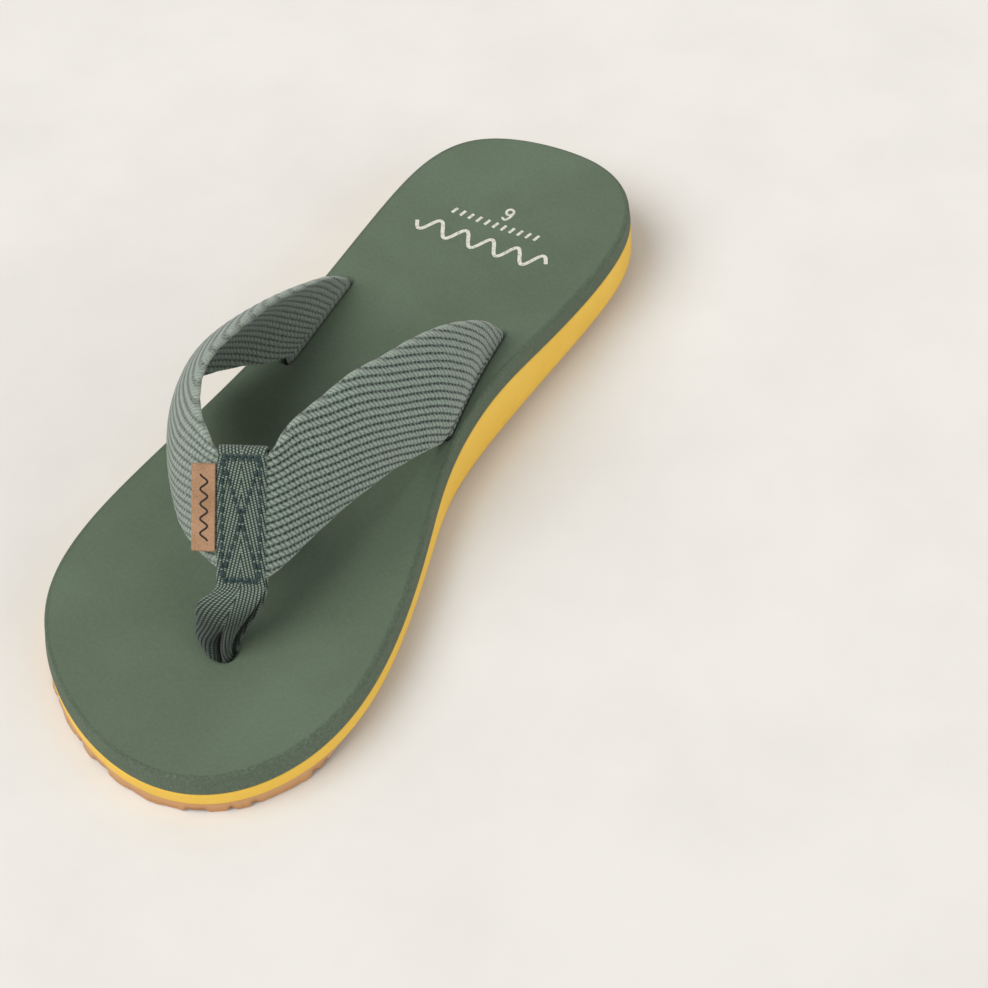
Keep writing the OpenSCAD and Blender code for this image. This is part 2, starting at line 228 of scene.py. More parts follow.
def slab(name, rows, rings, low_cells, low_height, high_cells, high_height, material, values=None):
    """A closed slab: rings from the lowest up, closed by a sheet below and one above."""
    count = 2 * rows
    points = list(rings)
    faces = [loop_faces(np.arange(count * len(rings)).reshape(len(rings), count))]
    start = count * len(rings)
    sheets = ((0, low_cells, low_height), (len(rings) - 1, high_cells, high_height))
    for border, cells, height in sheets:
        extra = plate_points(rows, rings[border], cells, height)
        faces += plate_faces(rows, cells, border * count, start)
        points.append(extra)
        start += len(extra)
    points = np.concatenate(points)
    wall = np.zeros(len(points))
    wall[: count * len(rings)] = 1
    made = {"wall": wall}
    if values:
        made.update(values(points))
    return make_object(name, points, faces, material, made)


def strip(name, centre, normal, thick, material, values):
    """A closed flat band. centre and normal are rows x columns of points, and thick is how far
    each face stands off the centre, 0 at the first and last column."""
    rows, cols = centre.shape[:2]
    front = centre + normal * thick[..., None]
    back = (centre - normal * thick[..., None])[:, -2:0:-1]
    points = np.concatenate([front, back], 1)
    around = points.shape[1]
    ids = np.arange(rows * around).reshape(rows, around)
    faces = [loop_faces(ids)]
    for row in (ids[0], ids[-1]):
        opposite = np.concatenate([row[:1], row[cols:][::-1], row[cols - 1 : cols]])
        quads = np.stack([row[: cols - 1], row[1:cols], opposite[1:], opposite[:-1]], -1)
        faces.append([list(dict.fromkeys(q)) for q in quads.tolist()])
    layers = {}
    for key, value in values.items():
        v = np.broadcast_to(value, (rows, cols))
        layers[key] = np.concatenate([v, v[:, -2:0:-1]], 1)
    return make_object(name, points.reshape(-1, 3), faces, material, layers)


# ---------------------------------------------------------------- materials
def srgb(r, g, b):
    """Linear colour of an 8-bit sRGB one."""
    c = [v / 255 for v in (r, g, b)]
    return tuple(v / 12.92 if v <= 0.04045 else ((v + 0.055) / 1.055) ** 2.4 for v in c) + (1.0,)


class Surface:
    """A procedural material. Lengths in its patterns are in millimetres."""

    def __init__(self, name, roughness=0.6, sheen=0.0, specular=0.5, coat=0.0):
        self.material = bpy.data.materials.new(name)
        self.material.use_nodes = True
        self.tree = self.material.node_tree
        self.shader = self.tree.nodes["Principled BSDF"]
        self.set("Roughness", roughness)
        self.set("Sheen Weight", sheen)
        self.set("Sheen Roughness", 0.4)
        self.set("Specular IOR Level", specular)
        self.set("Coat Weight", coat)
        where = self.tree.nodes.new("ShaderNodeTexCoord")
        scale = self.tree.nodes.new("ShaderNodeVectorMath")
        scale.operation = "SCALE"
        scale.inputs["Scale"].default_value = 1000
        self.tree.links.new(where.outputs["Object"], scale.inputs[0])
        self.place = scale.outputs[0]

    def set(self, socket, value):
        if isinstance(value, bpy.types.NodeSocket):
            self.tree.links.new(value, self.shader.inputs[socket])
        else:
            self.shader.inputs[socket].default_value = value

    def feed(self, socket, value):
        if isinstance(value, bpy.types.NodeSocket):
            self.tree.links.new(value, socket)
        else:
            socket.default_value = value

    def maths(self, operation, *values, clamp=False):
        node = self.tree.nodes.new("ShaderNodeMath")
        node.operation = operation
        node.use_clamp = clamp
        for socket, value in zip(node.inputs, values):
            self.feed(socket, value)
        return node.outputs[0]

    def attribute(self, name):
        node = self.tree.nodes.new("ShaderNodeAttribute")
        node.attribute_name = name
        return node.outputs["Fac"]

    def noise(self, size, detail=2.0, rough=0.5, offset=0.0):
        """Noise from 0 to 1, with features about size mm across."""
        node = self.tree.nodes.new("ShaderNodeTexNoise")
        vector = self.place
        if offset:
            mapping = self.tree.nodes.new("ShaderNodeMapping")
            mapping.inputs["Location"].default_value = (offset, offset * 0.7, offset * 1.3)
            self.tree.links.new(vector, mapping.inputs["Vector"])
            vector = mapping.outputs[0]
        self.tree.links.new(vector, node.inputs["Vector"])
        node.inputs["Scale"].default_value = 1 / size
        node.inputs["Detail"].default_value = detail
        node.inputs["Roughness"].default_value = rough
        return node.outputs["Fac"]

    def ramp(self, value, *stops):
        """Colours or numbers at the given places between 0 and 1."""
        node = self.tree.nodes.new("ShaderNodeValToRGB")
        elements = node.color_ramp.elements
        while len(elements) < len(stops):
            elements.new(0.5)
        for element, (place, colour) in zip(elements, stops):
            element.position = place
            element.color = colour if isinstance(colour, tuple) else (colour, colour, colour, 1)
        self.feed(node.inputs["Fac"], value)
        return node.outputs["Color"]

    def mix(self, share, a, b, blend="MIX"):
        node = self.tree.nodes.new("ShaderNodeMix")
        node.data_type = "RGBA"
        node.blend_type = blend
        self.feed(node.inputs[0], share)
        self.feed(node.inputs[6], a)
        self.feed(node.inputs[7], b)
        return node.outputs[2]

    def bump(self, height, distance, strength=1.0, under=None):
        """Bump whose full height is distance mm."""
        node = self.tree.nodes.new("ShaderNodeBump")
        node.inputs["Strength"].default_value = strength
        node.inputs["Distance"].default_value = distance / 1000
        self.feed(node.inputs["Height"], height)
        if under:
            self.tree.links.new(under, node.inputs["Normal"])
        self.set("Normal", node.outputs[0])
        return node.outputs[0]

    def crest(self, phase):
        """0 in a valley and 1 on a crest, once per unit of phase."""
        twice = self.maths("MULTIPLY_ADD", self.maths("FRACT", phase), 2.0, -1.0)
        return self.maths("SUBTRACT", 1.0, self.maths("ABSOLUTE", twice))


def footbed_foam():
    s = Surface("footbed_foam", roughness=0.85, sheen=0.12, specular=0.25)
    tones = (0.3, srgb(91, 106, 87)), (0.5, srgb(95, 110, 91)), (0.7, srgb(100, 115, 97))
    patches = s.ramp(s.noise(38, 3, 0.55), *tones)
    fine = s.noise(1.1, 4, 0.7)
    colour = s.mix(0.5, patches, s.ramp(fine, (0.3, 0.42), (0.7, 0.58)), "OVERLAY")
    pits = s.ramp(s.noise(0.9, 3, 0.75, offset=7), (0.42, 0.0), (0.56, 1.0))
    wall = s.attribute("wall")
    hollow = s.maths("MULTIPLY", s.maths("SUBTRACT", 1.0, pits), wall)
    # Painted shade: the wall's pits are painted darker green as well as bumped in.
    colour = s.mix(s.maths("MULTIPLY", hollow, 0.3), colour, srgb(66, 80, 63))
    # Painted shade: the skin is darkened toward near-black green in and round the strap slots.
    colour = s.mix(s.attribute("slot"), colour, srgb(40, 48, 39))
    s.set("Base Color", colour)
    first = s.bump(fine, 0.10, 0.55)
    s.bump(s.maths("MULTIPLY", hollow, -1.0), 0.28, 0.7, under=first)
    return s.material


def print_ink():
    s = Surface("print_ink", roughness=0.7, specular=0.3)
    worn = s.ramp(s.noise(0.8, 4, 0.75), (0.40, 0.0), (0.50, 1.0))
    s.set("Base Color", s.mix(worn, srgb(176, 180, 162), srgb(226, 223, 210)))
    s.bump(s.noise(0.5, 3, 0.6), 0.05, 0.5)
    return s.material


def midsole_foam():
    s = Surface("midsole_foam", roughness=0.55, specular=0.4)
    tone = s.ramp(s.noise(22, 3, 0.5), (0.3, srgb(236, 191, 70)), (0.7, srgb(242, 198, 80)))
    grain = s.noise(0.7, 3, 0.6)
    tone = s.mix(0.35, tone, s.ramp(grain, (0.3, 0.44), (0.7, 0.56)), "OVERLAY")
    s.set("Base Color", tone)
    s.set("Roughness", s.ramp(s.noise(5, 2), (0.3, 0.5), (0.7, 0.62)))
    s.bump(grain, 0.06, 0.4)
    return s.material


def outsole_rubber():
    s = Surface("outsole_rubber", roughness=0.4, specular=0.5)
    # Painted shade and highlight: the ramp on the rib height paints the grooves dark brown as painted
    # shade and the rib tips lighter tan as painted highlight.
    height = s.attribute("tread")
    tones = (0.0, srgb(126, 76, 38)), (0.35, srgb(176, 122, 72)), (1.0, srgb(204, 150, 98))
    tone = s.ramp(height, *tones)
    cloud = s.ramp(s.noise(17, 3, 0.55), (0.3, 0.43), (0.7, 0.57))
    tone = s.mix(0.6, tone, cloud, "OVERLAY")
    tone = s.mix(s.maths("MULTIPLY", s.attribute("rim"), 0.7), tone, srgb(206, 164, 118))
    s.set("Base Color", tone)
    s.set("Roughness", s.ramp(s.noise(3, 3, 0.6), (0.3, 0.34), (0.7, 0.5)))
    s.bump(s.noise(0.6, 3, 0.6), 0.05, 0.4)
    return s.material


def webbing():
    """Twill webbing: ribs of oblique strands, with dashed gaps between them painted dark as painted
    shade and crests painted light as painted highlight.
    """
    s = Surface("webbing", roughness=0.9, sheen=0.45, specular=0.15)
    keep = s.attribute("keep")
    rib = s.crest(s.maths("ADD", s.attribute("rib"), s.maths("MULTIPLY", s.noise(2.4, 2), 0.22)))
    wander = s.maths("MULTIPLY", s.noise(1.8, 2, offset=3), 0.9)
    strand = s.maths("ADD", s.attribute("strand"), wander)
    ply = s.crest(strand)
    fibre = s.noise(0.32, 4, 0.8)
    gap = s.maths("SUBTRACT", 1.0, s.ramp(rib, (0.08, 0.0), (0.56, 1.0)))
    beat = s.crest(s.maths("ADD", strand, 0.45))
    dash = s.maths("MULTIPLY", gap, s.ramp(beat, (0.1, 0.3), (0.6, 1.0)))
    notch = s.maths("SUBTRACT", 1.0, s.ramp(ply, (0.0, 0.0), (0.5, 1.0)))
    low = s.maths("MAXIMUM", dash, s.maths("MULTIPLY", notch, 0.5))
    low = s.maths("MULTIPLY", low, keep)
    level = s.maths("SUBTRACT", s.maths("MULTIPLY_ADD", fibre, 0.9, 0.33), low, clamp=True)
    # Painted shade and highlight: the ramp turns the gaps and notches dark and the crests light; the
    # fibre noise in it is the webbing's own tone.
    shade_tones = (0.0, srgb(52, 64, 57)), (0.3, srgb(94, 108, 98))
    highlight_tones = (0.7, srgb(138, 153, 141)), (1.0, srgb(178, 191, 179))
    colour = s.ramp(level, *shade_tones, *highlight_tones)
    # Painted light: the outer strap is painted a fifth of the way toward pale sage; the inner strap
    # gets none.
    colour = s.mix(s.attribute("lateral_painted_light"), colour, srgb(186, 196, 184))
    # Pale speckles along both edges: the fuzz is the webbing's own, its paleness a painted highlight.
    border = s.maths("SUBTRACT", s.attribute("border"), STRAP_WIDTH / 2 - 1.2, clamp=True)
    edge_fuzz_highlight = s.maths("MULTIPLY", s.ramp(s.noise(0.8, 4, 0.8), (0.5, 0.0), (0.62, 1.0)), border)
    colour = s.mix(s.maths("MULTIPLY", edge_fuzz_highlight, 0.7), colour, srgb(186, 190, 172))
    colour = s.mix(s.maths("MULTIPLY", s.attribute("root"), 0.35), colour, srgb(118, 126, 110))
    s.set("Base Color", colour)
    first = s.bump(fibre, 0.22, 0.7)
    s.bump(s.maths("SUBTRACT", 1.0, low), 0.35, 0.9, under=first)
    return s.material


def tape_weave():
    """Fine herringbone tape: steep twill lines made of short floats, painted bright as painted
    highlight, with painted shade between the lines.
    """
    s = Surface("tape_weave", roughness=0.8, sheen=0.25, specular=0.25)
    line = s.attribute("twill")
    rank = s.maths("FLOOR", line)
    offset = s.maths("MULTIPLY", rank, 0.5)
    floats = s.crest(s.maths("ADD", s.attribute("float"), offset))
    body = s.maths(
        "MULTIPLY",
        s.ramp(s.crest(line), (0.1, 0.0), (0.6, 1.0)),
        s.ramp(floats, (0.1, 0.35), (0.6, 1.0)),
    )
    fibre = s.noise(0.25, 2, 0.6)
    level = s.maths("ADD", body, s.maths("MULTIPLY_ADD", fibre, 0.4, -0.2), clamp=True)
    # Painted shade and highlight: the ramp turns the valleys between twill lines dark and the floats
    # light; the fibre noise is the tape's own tone.
    shade_tones = (0.0, srgb(32, 44, 39)), (0.3, srgb(62, 76, 68))
    highlight_tones = (0.7, srgb(104, 119, 108)), (1.0, srgb(142, 155, 142))
    colour = s.ramp(level, *shade_tones, *highlight_tones)
    colour = s.mix(s.attribute("shade"), colour, srgb(20, 28, 24))
    s.set("Base Color", colour)
    s.bump(body, 0.22, 0.9, under=s.bump(fibre, 0.1, 0.5))
    return s.material


def sewing_thread():
    s = Surface("sewing_thread", roughness=0.55, sheen=0.2, specular=0.4)
    twist = s.noise(0.3, 2, 0.5)
    s.set("Base Color", s.ramp(twist, (0.3, srgb(22, 44, 46)), (0.7, srgb(44, 72, 72))))
    s.bump(twist, 0.12, 0.8)
    return s.material


def label_suede():
    s = Surface("label_suede", roughness=0.85, sheen=0.2, specular=0.2)
    grain = s.noise(0.5, 4, 0.75)
    tone = s.ramp(s.noise(7, 3, 0.5), (0.3, srgb(160, 124, 94)), (0.7, srgb(180, 142, 112)))
    s.set("Base Color", s.mix(0.9, tone, s.ramp(grain, (0.3, 0.36), (0.7, 0.62)), "OVERLAY"))
    s.bump(grain, 0.12, 0.7)
    return s.material


def dark_ink():
    s = Surface("dark_ink", roughness=0.6, specular=0.3)
    s.set("Base Color", s.ramp(s.noise(0.4, 3, 0.7), (0.35, srgb(52, 44, 40)), (0.6, srgb(28, 26, 26))))
    s.bump(s.noise(0.4, 3, 0.6), 0.05, 0.5)
    return s.material


def anchor_plastic():
    s = Surface("anchor_plastic", roughness=0.45, specular=0.5)
    s.set("Base Color", s.ramp(s.noise(4, 3, 0.6), (0.3, srgb(38, 38, 38)), (0.7, srgb(52, 52, 51))))
    s.bump(s.noise(0.6, 3, 0.6), 0.05, 0.5)
    return s.material


# ---------------------------------------------------------------- the V and the straps' courses
V_MIDDLE = np.array([-7.0, 195.5, 45.0])
V_UP = unit(np.array([10.0, -23.0, 28.0]))
V_ACROSS = unit(np.array([23.0, 10.0, 0.0]))
V_FACE = np.cross(V_UP, V_ACROSS)
STRAP_WIDTH = 35.0
STRAP_HALF = 1.3
STRAP_BOW = 3.5
STRAP_CLEAR = 0.5
HOLE = np.array([-11.7, 220.0])


def v_point(a, b, c):
    """A point a across the V, b out from its face and c up it."""
    a, b, c = (np.asarray(v, float)[..., None] for v in (a, b, c))
    return V_MIDDLE + a * V_ACROSS + b * V_FACE + c * V_UP


# Each strap's upper and lower edge, from the V to the slot.
MEDIAL = (
    np.array(
        [
            v_point(-0.1, 0, 16.8), v_point(-7.4, 0, 18.3), (-10, 171, 61), (-12, 158, 60),
            (-14.5, 146, 59.5), (-17, 134, 56), (-19, 122, 52.5), (-21.5, 110, 48),
            (-23.5, 100, 42), (-25.5, 91, 34.5), (-26.5, 84, 24.5),
        ]
    ),
    np.array(
        [
            v_point(-0.1, 0, -18), v_point(-7.4, 0, -17.5), (-20.5, 186, 30.5), (-23, 172, 30.5),
            (-25.5, 160, 29.5), (-27, 151, 28), (-28.5, 144, 26), (-30, 138, 24.5), (-31, 134, 23),
            (-31.5, 130.5, 22), (-32, 127, 23),
        ]
    ),
)
LATERAL = (
    np.array(
        [
            v_point(0.1, 0, 16.8), v_point(7.4, 0, 18.3), (12.5, 182.5, 62), (18.5, 175.5, 62),
            (23.5, 166.5, 61), (26.5, 156, 59), (27.5, 145.5, 56), (28.5, 133, 51.5),
            (29.5, 121, 46.5), (30, 106.5, 39), (30, 92, 30.5), (29.5, 83, 22),
        ]
    ),
    np.array(
        [
            v_point(0.1, 0, -17), v_point(7.4, 0, -15), (12, 199, 31), (22, 189, 31), (31.5, 177, 30),
            (39.5, 165, 28.5), (46, 151, 27), (47, 144.5, 26.5), (43.5, 139, 26), (38.5, 132.5, 24.5),
            (33, 126.5, 22.5), (30, 118.5, 19.5),
        ]
    ),
)


def through(course, t):
    """Catmull-Rom curve through a course's stations."""
    n = len(course) - 1
    full = np.vstack([2 * course[0] - course[1], course, 2 * course[-1] - course[-2]])
    i = np.minimum(n - 1, np.floor(t).astype(int))
    f = (t - i)[:, None]
    a, b, d, e = (full[i + k] for k in range(4))
    bend, twist = 2 * a - 5 * b + 4 * d - e, 3 * b - a - 3 * d + e
    return (2 * b + (d - a) * f + bend * f**2 + twist * f**3) / 2


# ---------------------------------------------------------------- footbed
def slot_distance(x, y):
    """How far a point is, in plan, from the nearer strap's middle where it enters the footbed."""
    best = np.full(np.shape(x), 1e9)
    for upper, lower in (MEDIAL, LATERAL):
        a, d = upper[-1, :2], lower[-1, :2] - upper[-1, :2]
        t = np.clip(((x - a[0]) * d[0] + (y - a[1]) * d[1]) / (d @ d), 0, 1)
        best = np.minimum(best, np.hypot(x - a[0] - t * d[0], y - a[1] - t * d[1]))
    return best


def skin_z(x, y):
    """Upper face of the footbed with its slots, its dimple and a soft unevenness."""
    slot = slot_distance(x, y)
    pit = np.hypot(x - HOLE[0], y - HOLE[1])
    waves = 0.10 * np.sin(x / 9 + 1.3) * np.sin(y / 13) + 0.06 * np.sin(x / 4.1 - y / 5.3)
    slots = 2.0 * np.exp(-((slot / 1.5) ** 8)), 0.3 * bell(slot / 5)
    dimple = 2.4 * np.exp(-((pit / 3.5) ** 6)), 0.9 * bell(pit / 8)
    return top_z(x, y) + waves - slots[0] - slots[1] - dimple[0] - dimple[1]


def build_footbed(material):
    """The green layer: a leaning wall, a rounded upper edge and a dished skin."""
    rows = 330
    round_in, round_down = 1.2, 1.4
    rings = [ring(rows, 0.25, joint_z), ring(rows, 0.05, lambda x, y: joint_z(x, y) + 0.35)]
    for f in np.linspace(0, 1, 7)[1:-1]:
        rings.append(
            ring(
                rows,
                lambda y, f=f: wall_inset(y) * f,
                lambda x, y, f=f: joint_z(x, y) + f * (FOOTBED - round_down),
            )
        )
    for angle in np.radians([0, 18, 36, 54, 72, 90]):
        rings.append(
            ring(
                rows,
                lambda y, a=angle: wall_inset(y) + round_in * (1 - math.cos(a)),
                lambda x, y, a=angle: top_z(x, y) - round_down * (1 - math.sin(a)),
            )
        )

    def values(points):
        # The slot mask carries the painted shade in and round the strap slots.
        return {"slot": np.exp(-((slot_distance(points[:, 0], points[:, 1]) / 1.75) ** 6))}

    return slab("footbed_shaped", rows, rings, 1, joint_z, 150, skin_z, material, values)


def build_midsole(material):
    """The yellow wedge, thicker under heel and arch, with both edges eased."""
    rows = 330
    ease = 0.35
    rings = [ring(rows, ease, OUTSOLE), ring(rows, 0.08, OUTSOLE + ease)]
    for f in np.linspace(0, 1, 6)[1:-1]:
        rings.append(ring(rows, 0.0, lambda x, y, f=f: OUTSOLE + f * (joint_z(x, y) - OUTSOLE)))
    rings += [ring(rows, 0.08, lambda x, y: joint_z(x, y) - 0.3), ring(rows, ease, joint_z)]
    return slab("midsole_shaped", rows, rings, 1, joint_z, 1, joint_z, material)


# ---------------------------------------------------------------- outsole
RIB_SPACING = 10
WAVE_HEIGHT = 3.5
WAVE_LENGTH = 15.3


def outsole_inset(y, extra=0.0):
    """How far the rubber's edge is inside the sole's; it comes out further round the toe."""
    return 0.3 + extra + 2.6 * smooth((235 - y) / 40)


def edge_distance(x, y):
    """How far points are, in plan, from the sole's edge."""
    flat = np.column_stack([np.ravel(x), np.ravel(y)])
    out = np.empty(len(flat))
    for i in range(0, len(flat), 4000):
        d = flat[i : i + 4000, None, :] - EDGE[None]
        out[i : i + 4000] = np.sqrt((d * d).sum(-1).min(1))
    return out.reshape(np.shape(x))


def rib_profile(x, y):
    """Height of the ribs over the base sheet, from 0 to 1, as if the sole had no edge."""
    f = (y - WAVE_HEIGHT * np.sin(2 * np.pi * x / WAVE_LENGTH)) / RIB_SPACING
    f = f - np.floor(f)
    deep = np.minimum(f, 1 - f)
    groove = np.exp(-((deep / 0.135) ** 4))
    line = 0.4 * np.exp(-(((f - 0.46) / 0.055) ** 2)) + 0.14 * smooth((f - 0.44) / 0.1)
    return (1 - groove) * (1 - line)


def toe_share(y):
    """1 round the toe, where the ribs run out over the edge."""
    return smooth((y - 226) / 14)


def tread_height(x, y):
    """Height of the ribs, which fade out at the rim except round the toe."""
    inside = edge_distance(x, y) - outsole_inset(y, 1.0)
    edge = smooth(inside / 1.5)
    return rib_profile(x, y) * np.maximum(edge, toe_share(y))


def build_outsole(material):
    """The rubber sheet, with the ribs as its lower face and rib ends round the toe."""
    rows = 400
    t = np.linspace(0, TURNS, 2 * rows + 1)[:-1]
    edge = outline(t)
    ends = (0.45 + 0.55 * rib_profile(edge[:, 0], edge[:, 1])) * toe_share(edge[:, 1])
    bumps = -0.7 * ends + 0.2 * np.sin(edge[:, 0] / 1.9) * toe_share(edge[:, 1])
    foot = RIB * (1 - ends)
    rings = []
    steps = ((0.45, 0.0), (0.1, 0.2), (0.0, 0.5), (0.0, OUTSOLE - 0.2), (0.15, OUTSOLE))
    for extra, rise in steps:
        inset = outsole_inset(edge[:, 1], extra) + bumps * (1 - smooth((rise - 1.2) / 2))
        height = rise if rise > 1 else foot + rise
        rings.append(np.column_stack([outline(t, inset), np.zeros(len(t)) + height]))

    def low(x, y):
        return RIB * (1 - tread_height(x, y))

    def values(points):
        # tread is the rib height that the rubber's colour turns into painted shade and highlight.
        height = 1 - points[:, 2] / RIB
        rim = np.where(points[:, 2] > RIB - 0.05, 1.0, 0.0)
        near = edge_distance(points[:, 0], points[:, 1]) < outsole_inset(points[:, 1], 2.0)
        tread = np.clip(np.where(near & (rim > 0), 0.6, height), 0, 1)
        return {"tread": tread, "rim": rim * near}

    def high(x, y):
        return 0 * x + OUTSOLE

    return slab("outsole_tread", rows, rings, 110, low, 1, high, material, values)


# ---------------------------------------------------------------- straps
RIB_PITCH = 2.45
RIB_ANGLE = math.radians(18)
STRAND_PITCH = 1.45


def strap_frames(course, side):
    """Middle, half-width vector, outward direction and bow along the arch, about every 0.4 mm."""
    upper, lower = course
    n = len(upper) - 1

    def middle(t):
        return (through(upper, t) + through(lower, t)) / 2

    fine = np.linspace(0, n, 4000)
    length = np.concatenate([[0], np.cumsum(np.linalg.norm(np.diff(middle(fine), axis=0), axis=1))])
    t = np.interp(np.arange(0, length[-1], 0.4), length, fine)
    m = middle(t)
    c = (through(upper, t) - through(lower, t)) / 2
    g = middle(np.minimum(n, t + 0.1)) - middle(np.maximum(0, t - 0.1))
    o = unit(-side * np.cross(g, c))
    k = smooth((t - 0.9) / 0.8)[:, None]
    o = unit((1 - k) * V_FACE + k * o)
    bow = STRAP_BOW * smooth((t - 1) / 2) * smooth((n - t) / 2)
    return m, c, o, bow


def tail_frames(course, side):
    """The end of the webbing: down the slot, round a bend and inward between the layers."""
    upper, lower = course
    m = (upper[-1] + lower[-1]) / 2
    c = (upper[-1] - lower[-1]) / 2 * np.array([1.0, 1.0, 0.0])
    out = unit(np.array([side * abs(c[1]), -side * c[0] * np.sign(c[1]), 0]))
    keys = [(0, 6), (0, 5), (0, 4), (0, 2.5), (0.4, 1), (1.5, -0.6), (3, -1.8), (9, -1.8), (16, -1.8)]
    frames = []
    for inward, z in keys:
        lie = 1 if z < -1 else 0.6 if z < 0 else 0.25 if z < 2 else 0
        frames.append((m - out * inward, z, c, unit(lie * np.array([0, 0, -1.0]) + (1 - lie) * out)))
    return frames


def across_steps():
    """Places across a band from -1 to 1 and how much of the thickness is left there."""
    radius = 1.2 / (STRAP_WIDTH / 2)
    bend = np.radians([90, 66, 44, 22])
    left = -1 + radius * (1 - np.sin(bend))
    flat = np.linspace(-1 + radius, 1 - radius, 93)
    v = np.concatenate([left, flat, -left[::-1]])
    share = np.concatenate([np.cos(bend), np.ones(len(flat)), np.cos(bend)[::-1]])
    share[0] = share[-1] = 0
    return v, share


def build_strap(name, course, side, material):
    """One strap of ribbed webbing. side is -1 for the inner strap and 1 for the outer one."""
    m, c, o, bow = strap_frames(course, side)
    v, share = across_steps()
    outward = o[:, None, :]
    centre = (
        m[:, None, :]
        + c[:, None, :] * v[None, :, None]
        + outward * (bow[:, None] * (1 - v[None, :] ** 2))[..., None]
    )
    floor_z = joint_z(centre[..., 0], centre[..., 1]) + FOOTBED + STRAP_CLEAR
    centre[..., 2] = np.maximum(centre[..., 2], floor_z)
    normal = np.broadcast_to(outward, centre.shape)
    arch = len(centre)
    for p, z, cc, oo in tail_frames(course, side):
        q = p[None, :] + cc[None, :] * v[:, None]
        q[:, 2] = z + joint_z(q[:, 0], q[:, 1])
        centre = np.concatenate([centre, q[None]])
        normal = np.concatenate([normal, np.broadcast_to(oo, (1, len(v), 3))])
    # Places on the flat webbing: w across it and s along it.
    w = v[None, :] * STRAP_WIDTH / 2
    first = unit(m[24] - m[20])
    step = np.linalg.norm(np.diff(centre, axis=0), axis=2)
    s = np.concatenate([np.zeros((1, len(v))), np.cumsum(step, axis=0)])
    left = s[arch + 1] - s
    s = s + v[None, :] * (c[20] @ first)
    rib = (w * math.cos(RIB_ANGLE) + s * math.sin(RIB_ANGLE)) / RIB_PITCH
    along = s * math.cos(RIB_ANGLE) - w * math.sin(RIB_ANGLE)
    rank = np.floor(rib)
    strand = along / STRAND_PITCH + (rib - rank - 0.5) + 0.37 * rank
    keep = smooth((left + 0.4) / 0.8)
    root = 1 - smooth((left - 0.3) / 1.6)
    crest = 1 - np.abs(1 - tri(rib)) ** 3.2
    calm = 1 - 0.6 * smooth((np.abs(w) - 14.5) / 2)
    relief = (0.5 * crest - 0.34 + 0.16 * crest * (tri(strand) - 0.5)) * keep * calm
    edge = np.clip((np.abs(v)[None, :] - 0.9) / 0.1, 0, 1) * np.sign(v)[None, :]
    ragged = 0.12 * (tri(strand) - 0.5) + 0.10 * (tri(rib) - 0.5)
    pull = np.concatenate([unit(c), np.repeat(unit(c[-1:]), len(centre) - arch, 0)])
    centre = centre + pull[:, None, :] * (edge * ragged * keep)[..., None]
    thick = (STRAP_HALF + relief) * share[None, :]
    values = {
        "rib": rib,
        "strand": strand,
        "keep": keep,
        "root": root,
        "border": np.abs(w) + 0 * rib,
        # The outer strap's share of painted light.
        "lateral_painted_light": 0.2 if side > 0 else 0.0,
    }
    return strip(name, centre, normal, thick, material, values)


# ---------------------------------------------------------------- toe tape
TAPE_HALF = 7.0
LEG = 2.05
V_TOP = 17.15
V_LOW = -20.3
TAPE_T = 0.55
LOBE = np.linspace(0, 1, 92)[1:]


def lobe_path(t, front):
    """From the lower edge of the V to the hole, for the front leg (1) or the back one (-1)."""
    top = v_point(0, LEG * front, V_LOW)
    end = np.array([HOLE[0], HOLE[1], top_z(*HOLE)]) + np.array([0, 1.3 * front, -4.0])
    a = top - 7 * V_UP + V_FACE * (1.2 if front > 0 else -1.6)
    b = end + np.array([0, 1.2 if front > 0 else -1.0, 9.0])
    t = t[:, None]
    return (1 - t) ** 3 * top + 3 * (1 - t) ** 2 * t * a + 3 * (1 - t) * t * t * b + t**3 * end


def tape_leg(front):
    """Rows of the tape from the fold over the V down to the hole on one side."""
    w = np.linspace(-1, 1, 49)
    flat = np.arange(V_TOP, V_LOW, -0.33)
    sheet = v_point(w[None, :] * TAPE_HALF, LEG * front, flat[:, None])
    t = LOBE
    path = lobe_path(t, front)
    level_out = np.array([[-V_ACROSS[1], V_ACROSS[0], 0]])
    turn = unit((V_FACE[None] * (1 - t[:, None]) + level_out * t[:, None]) * front)
    swell = smooth(t / 0.5)
    bulge = 2.7 * np.exp(-(((t - 0.24) / 0.17) ** 2)) * smooth(t / 0.14)
    half = TAPE_HALF + 0.9 * np.sin(np.pi * np.clip(t / 0.8, 0, 1)) - 3.6 * smooth((t - 0.55) / 0.45)
    if front > 0:
        half = half + bulge
    near = TAPE_HALF - 4.2 * smooth(t / 0.9)
    half = np.where(w[None, :] > 0, half[:, None], near[:, None])
    if front > 0:
        belly = 2.6 * swell
        dent = 6.4 * smooth((t - 0.38) / 0.3) * (1 - 0.45 * smooth((t - 0.85) / 0.15))
        drift = 1.8 * np.sin(np.pi * t)
    else:
        belly = 1.2 * swell
        dent = 2.0 * smooth((t - 0.5) / 0.4)
        drift = 0.2 * np.sin(np.pi * t)
    depth = (
        belly[:, None] * np.cos(np.pi * w[None, :] / 2) ** 0.8
        - dent[:, None] * np.exp(-np.abs(w[None, :] / 0.30) ** 1.3)
        - (0.8 * belly)[:, None] * np.abs(w[None, :]) ** 4
    )
    lower = (
        path[:, None, :]
        + V_ACROSS * (w[None, :] * half + drift[:, None])[..., None]
        + turn[:, None, :] * depth[..., None]
    )
    return np.concatenate([sheet, lower])


